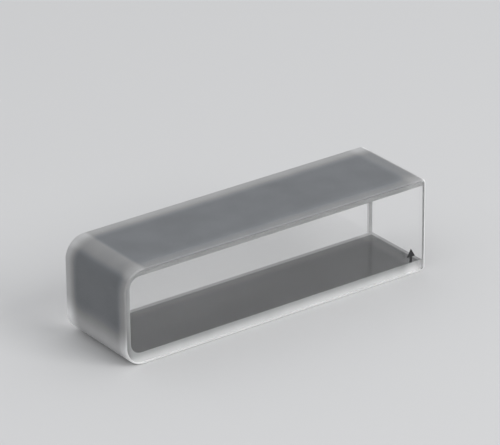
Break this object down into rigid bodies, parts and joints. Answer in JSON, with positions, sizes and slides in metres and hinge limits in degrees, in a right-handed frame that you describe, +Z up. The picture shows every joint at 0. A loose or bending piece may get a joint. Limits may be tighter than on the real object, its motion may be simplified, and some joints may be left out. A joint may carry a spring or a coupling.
{
  "type": "cuvette",
  "caption": "Rectangular glass cuvette with two polished windows, a ground frame and a rounded closed end, lying on a ground side.",
  "frame": {"origin": "middle of the ground side that the cell lies on, at the bottom of its box", "axes": "+X along the cell towards its mouth, +Y from the front window to the back window, +Z up from the lower ground side to the upper one"},
  "size_m": [0.045, 0.0126, 0.0125],
  "materials": {
    "ground_glass": "fine ground, frosted fused silica",
    "polished_glass": "optically polished fused silica, with fine ground edges"
  },
  "bodies": {
    "root": {"u_frame": "ground_glass", "front_window": "polished_glass", "back_window": "polished_glass"}
  },
  "joints": []
}
